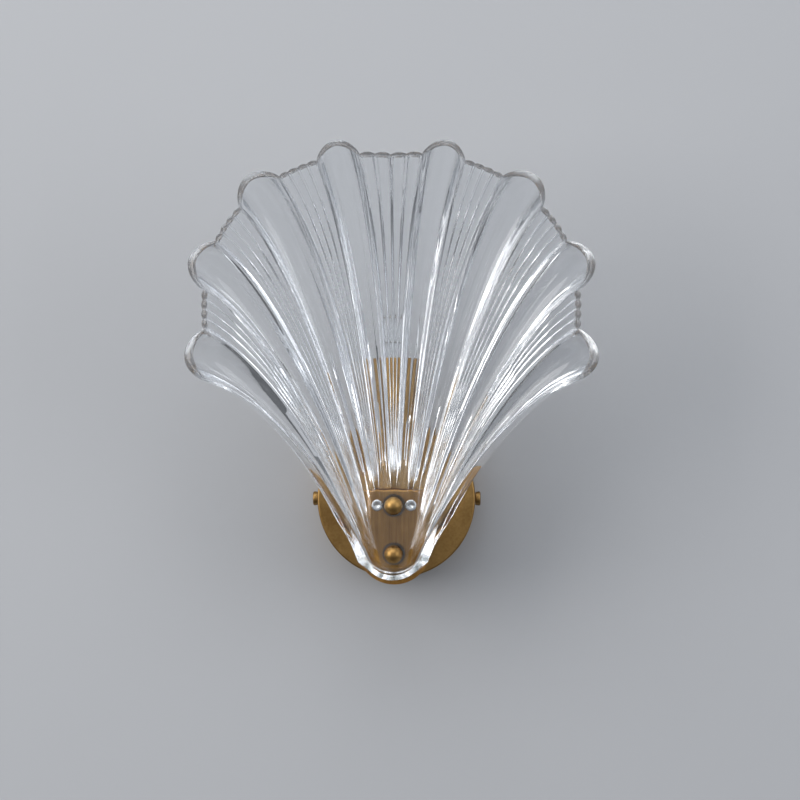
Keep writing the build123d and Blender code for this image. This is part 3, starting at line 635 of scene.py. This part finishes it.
flute_number = calculate("ABSOLUTE", flute)
is_outer = calculate("GREATER_THAN", flute_number, flutes / 2 - 1.0)
inner = flute_number - 0.5 + group_half_width(flute_number - 0.5)
next_group = flute_number + 0.5 - group_half_width(flute_number + 0.5)
outer = choose(is_outer, size.edge_across, next_group)
flute_half = (outer - inner) * 0.5
across_flute = calculate("SIGN", flute) * (outer + inner) * 0.5 + (2.0 * place - 1.0) * flute_half
group_half = group_half_width(group)
across = choose(in_flute, across_flute, group + (2.0 * place - 1.0) * group_half)
flute_swell = in_flute * (1.0 - (2.0 * place - 1.0) ** 2.0)
wave = sine(place * math.pi * ripples_per_group)
ripple_swell = (1.0 - in_flute) * wave * wave

# The slope of the bowl is taken over a small step, just inside the edges.
slope_edge, slope_foot, slope_rim, step = 0.985, 0.003, 0.998, 0.004
near_edge = size.edge_across * slope_edge
near = at_least(at_most(across, near_edge), -1.0 * near_edge)
up = at_most(at_least(along, slope_foot), slope_rim)
sideways = bowl(near + step, up) - bowl(near - step, up)
upwards = bowl(near, up + step / 2) - bowl(near, up - step / 2)
normal = calculate("NORMALIZE", calculate("CROSS_PRODUCT", sideways, upwards))
towards_wall = add_node(shell_tree, "ShaderNodeSeparateXYZ", Vector=normal)
normal = normal * calculate("SIGN", Field(towards_wall.outputs[1]))
pitch_width = calculate("LENGTH", sideways) / (2 * step)

# Flutes grow along the ribs. The backs of the ripples are rods, and faint drawn lines run in
# the flutes. The glass thins from the floor to the rim, and up the wall at the foot.
middle_until, middle_fade, flute_power, thick_until = 1.9, 0.5, 2.5, 0.6
drawn_lines, drawn_line_step, drawn_line_drift = 7, 1.7, 3.0
middle_flutes = ease((middle_until - calculate("ABSOLUTE", across)) / middle_fade)
growth = size.side_growth + (size.middle_growth - size.side_growth) * middle_flutes
grow = ease((along - size.flute_start - size.middle_start_later * middle_flutes) / growth)
blend = along**flute_power
flute_depth = size.flute_depth_low + (size.flute_depth_rim - size.flute_depth_low) * blend
lens_depth = size.lens_depth_low + (size.lens_depth_rim - size.lens_depth_low) * blend
flute_size = grow * pitch_width * flute_half
ripple_size = grow * pitch_width * group_half / ripples_per_group
ripple = size.ripple_depth * ripple_size * ripple_swell
rod_depth = size.rod_depth_low + (size.rod_depth_rim - size.rod_depth_low) * along
rod = rod_depth * ripple_size * (1.0 - in_flute) * calculate("ABSOLUTE", wave)
drawn_turn = place * (drawn_lines * math.pi) + flute * drawn_line_step + along * drawn_line_drift
drawn = sine(drawn_turn) * (1.0 - along * along) * flute_swell * size.drawn_line_depth
thin = ease(along / thick_until)
lip = at_least(1.0 - along / size.lip_share, 0.0) * size.lip_thinning
low_thickness = size.floor_thickness * (1.0 - lip)
thickness = size.rim_thickness + (low_thickness - size.rim_thickness) * (1.0 - thin)
front_shift = flute_depth * flute_size * flute_swell - ripple
lens = lens_depth * calculate("SQRT", flute_swell) + drawn
back_shift = thickness + (flute_depth * flute_swell + lens) * flute_size + rod
half_glass = (back_shift - front_shift) * 0.5
rim_turn = rim_angle(across)
outset = size.flute_outset * flute_swell * along * along
base = bowl(across, along) + vector(shell_tree, sine(rim_turn), 0.0, cosine(rim_turn)) * outset
base = base + normal * ((front_shift + back_shift) * 0.5)
across_edge = calculate("NORMALIZE", sideways) * past_side
across_edge = across_edge + calculate("NORMALIZE", upwards) * past_end
reach = at_least(past_side * past_side + past_end * past_end, 1.0)
base = base + across_edge * (half_glass * size.edge_roundness / calculate("SQRT", reach))
inwards = calculate("SQRT", at_least(1.0 - past_side * past_side, 0.0)) * calculate(
    "SQRT", at_least(1.0 - past_end * past_end, 0.0)
)
faces = []
for direction in (-1.0, 1.0):
    point = (base + normal * (half_glass * inwards * direction)) * MM
    face = add_node(
        shell_tree, "GeometryNodeSetPosition", Geometry=Field(grid.outputs["Mesh"]), Position=point
    )
    faces.append(Field(face.outputs[0]))
flipped = add_node(shell_tree, "GeometryNodeFlipFaces", Mesh=faces[1])
both = shell_tree.nodes.new("GeometryNodeJoinGeometry")
shell_tree.links.new(faces[0].socket, both.inputs[0])
shell_tree.links.new(flipped.outputs[0], both.inputs[0])
sealed = add_node(
    shell_tree, "GeometryNodeMergeByDistance", Geometry=Field(both.outputs[0]), Distance=0.001 * MM
)

# Two drills cut the stud holes through the floor.
drill_length, drill_sides = 30.0, 64
drilled = shell_tree.nodes.new("GeometryNodeMeshBoolean")
drilled.operation = "DIFFERENCE"
drilled.solver = "MANIFOLD"
shell_tree.links.new(sealed.outputs[0], drilled.inputs["Mesh 1"])
for height in (size.upper_hole_height, size.lower_hole_height):
    drill = add_node(
        shell_tree,
        "GeometryNodeMeshCylinder",
        Radius=size.hole_diameter * MM * 0.5,
        Depth=drill_length * MM,
        Vertices=drill_sides,
    )
    turned_drill = add_node(
        shell_tree,
        "GeometryNodeTransform",
        Geometry=Field(drill.outputs["Mesh"]),
        Translation=vector(shell_tree, 0.0, size.glass_front * -MM, height * MM),
        Rotation=(math.pi / 2, 0, 0),
    )
    shell_tree.links.new(turned_drill.outputs[0], drilled.inputs["Mesh 2"])
smoothed = add_node(
    shell_tree, "GeometryNodeSetShadeSmooth", Geometry=Field(drilled.outputs["Mesh"])
)

shell_glass, tree, shader, place = new_material(
    "pressed_glass", (0.97, 0.985, 1.0), 0.0, Transmission_Weight=1.0, IOR=1.5
)
bump(tree, shader, noise(tree, place, 75.0, 2.0), strength=0.25, distance=0.4)
shell_mesh = grown(
    "fluted_shell", shell_tree, Field(smoothed.outputs[0]), shell_glass, shell_sizes
)
shell_mesh.set_sharp_from_angle(angle=math.radians(glass_sharp_angle))
finished("fluted_shell", shell_mesh, shell_glass, "clear_glass", "root", "glass_shell")

# ------------------------------------------------------------------ lamp cup
# The cup is a deep brass tube with a base, held on the bracket's shelf by a hollow stem and a
# nut. The stem rises inside it and carries a steel bridge for the lampholder.

low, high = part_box("lamp_cup")
cup_radius = high.x
cup_foot = Vector((0, (low.y + high.y) / 2, low.z))
cup_height = high.z - low.z
cup_wall, cup_base, cup_bore, cup_corner = 1.0 * MM, 2.5 * MM, 5.25 * MM, 0.8 * MM
lip_radius = cup_wall / 2
profile = [(cup_bore, 0)]
profile += rounded_corner((cup_radius - cup_corner, cup_corner), cup_corner, -90, 0, 6)
profile += rounded_corner((cup_radius - lip_radius, cup_height - lip_radius), lip_radius, 0, 180, 8)
profile += [(cup_radius - cup_wall, cup_base), (cup_bore, cup_base)]
cup_brass = turned_brass("cup_brass", cup_foot, (0, 1))
cup_mesh = turned("lamp_cup_tube", profile, cup_foot, (0, 0, 1), 128, closed=True)
finished("lamp_cup_tube", cup_mesh, cup_brass, "aged_brass", "root", "lamp_cup")
smooth_copy("lamp_stem", zinc, "zinc_steel")
smooth_copy("stem_nut", zinc, "zinc_steel")
smooth_copy("socket_bridge", zinc, "zinc_steel")

# ------------------------------------------------------------------ lampholder
# The lampholder is fired white ceramic with a well for the bulb's foot. Two steel screws hold
# it on the bridge, and two brass sleeves in it take the bulb's pins.

ceramic, tree, shader, place = new_material("white_ceramic", (0.82, 0.80, 0.74), 0.55)
grit = noise(tree, place, 1400.0, 3.0)
grains = mixed_colours(tree, grit, (0.76, 0.74, 0.68), (0.88, 0.86, 0.81))
plug(shader.inputs["Base Color"], grains)
bump(tree, shader, grit, strength=0.25, distance=0.05)
smooth_copy("lamp_socket", ceramic, "ceramic_white")
smooth_copy("socket_screws", bright_steel, "bright_steel")
smooth_copy("socket_contacts", copper_brass, "copper_brass")

# ------------------------------------------------------------------ capsule bulb
# The bulb is a small capsule of clear quartz glass, pinched flat at its foot, with two pins.
# A coil of tungsten wire hangs across it between two leads.

quartz, tree, shader, place = new_material(
    "quartz_glass", (0.98, 0.99, 1.0), 0.0, Transmission_Weight=1.0, IOR=1.46
)
bump(tree, shader, noise(tree, place, 200.0), strength=0.04, distance=0.1)
smooth_copy("bulb_glass", quartz, "bulb_quartz")
smooth_copy("bulb_pins", bright_steel, "bright_steel")
tungsten = metal("tungsten", (0.25, 0.24, 0.23), (0.42, 0.41, 0.40), 0.35)
smooth_copy("bulb_filament", tungsten, "filament_wire")

# ------------------------------------------------------------------ lamp wires
# Two wires in pale glass-fibre sleeves run from the terminal block through the post and the
# stem to the lampholder's contacts.

sleeve, tree, shader, place = new_material("woven_sleeve", (0.70, 0.68, 0.62), 0.8)
weave = noise(tree, place, 1600.0, 2.0, (1, 1, 0.5))
threads = mixed_colours(tree, weave, (0.60, 0.58, 0.52), (0.80, 0.78, 0.72))
plug(shader.inputs["Base Color"], threads)
bump(tree, shader, weave, strength=0.5, distance=0.1)
smooth_copy("lamp_wires", sleeve, "wire_sleeve")

# ------------------------------------------------------------------ wall, light and camera
# A plain pale wall stands behind the light. It shows only from the room's side and is open
# behind the canopy, so that the light's back can be seen. Large soft lamps shine from the
# upper left, from above and from the right, in a room that is brighter above than below.

wall_reach, wall_corners = 3.0, 96
wall_hole = canopy_radius - 5 * MM
wall_mesh = bpy.data.meshes.new("wall")
wall_points, wall_faces = [], []
for corner in range(wall_corners):
    turn = math.tau * corner / wall_corners
    ray = Vector((math.cos(turn), 0, math.sin(turn)))
    wall_points += [ray * wall_hole, ray * (wall_reach / max(abs(ray.x), abs(ray.z)))]
    following = (corner + 1) % wall_corners
    wall_faces.append((2 * corner, 2 * corner + 1, 2 * following + 1, 2 * following))
wall_mesh.from_pydata(wall_points, [], wall_faces)
wall = bpy.data.objects.new("wall", wall_mesh)
scene.collection.objects.link(wall)
paint, tree, shader, place = new_material("wall_paint", (0.46, 0.465, 0.475), 0.9)
mottle = noise(tree, place, 3.0, 3.0)
shades = mixed_colours(tree, mottle, (0.45, 0.455, 0.465), (0.47, 0.475, 0.485))
plug(shader.inputs["Base Color"], shades)
bump(tree, shader, noise(tree, place, 260.0, 4.0), strength=0.08, distance=0.3)
clear = tree.nodes.new("ShaderNodeBsdfTransparent")
sides = tree.nodes.new("ShaderNodeMixShader")
tree.links.new(tree.nodes.new("ShaderNodeNewGeometry").outputs["Backfacing"], sides.inputs[0])
tree.links.new(shader.outputs[0], sides.inputs[1])
tree.links.new(clear.outputs[0], sides.inputs[2])
tree.links.new(sides.outputs[0], tree.nodes["Material Output"].inputs["Surface"])
wall_mesh.materials.append(paint)


def soft_light(name, place, width, height, power, colour, target=(0, -0.05, 0.06)):
    """A rectangular lamp at a place, turned to the target."""
    light = bpy.data.lights.new(name, "AREA")
    light.shape = "RECTANGLE"
    light.size, light.size_y = width, height
    light.energy, light.color = power, colour
    lamp = bpy.data.objects.new(name, light)
    scene.collection.objects.link(lamp)
    lamp.location = place
    lamp.rotation_euler = (Vector(target) - Vector(place)).to_track_quat("-Z", "Y").to_euler()


soft_light("key_light", (-2.0, -1.5, 0.8), 1.7, 2.1, 38, (1.0, 0.985, 0.965))
soft_light("top_light", (-0.2, -1.0, 1.5), 1.6, 1.1, 10, (0.95, 0.97, 1.0))
soft_light("fill_light", (1.6, -1.2, 0.4), 0.9, 1.2, 6, (0.95, 0.97, 1.0))
sky = bpy.data.worlds.new("room")
scene.world = sky
sky.use_nodes = True
glow = sky.node_tree.nodes["Background"]
glow.inputs["Color"].default_value = (0.86, 0.90, 0.97, 1)
direction = Field(sky.node_tree.nodes.new("ShaderNodeTexCoord").outputs["Generated"])
height = Field(add_node(sky.node_tree, "ShaderNodeSeparateXYZ", Vector=direction).outputs[2])
plug(glow.inputs["Strength"], ramp(sky.node_tree, height, -0.6, 0.6, 0.12, 0.95))

view_target = Vector((0.0016, 0, 0.0628))
view_yaw, view_distance = math.radians(1.9), 1.8
camera = bpy.data.objects.new("camera", bpy.data.cameras.new("camera"))
scene.collection.objects.link(camera)
camera.location = view_target + Vector(
    (math.sin(view_yaw) * view_distance, -math.cos(view_yaw) * view_distance, 0)
)
camera.rotation_euler = (view_target - camera.location).to_track_quat("-Z", "Y").to_euler()
camera.data.sensor_width, camera.data.lens, camera.data.clip_start = 36, 126, 0.01
scene.camera = camera
scene.view_settings.view_transform = "Standard"
# Light is led far along inside thick glass, so its paths may bounce more often than usual.
scene.cycles.max_bounces = 32
scene.cycles.glossy_bounces = 24
scene.cycles.transmission_bounces = 32
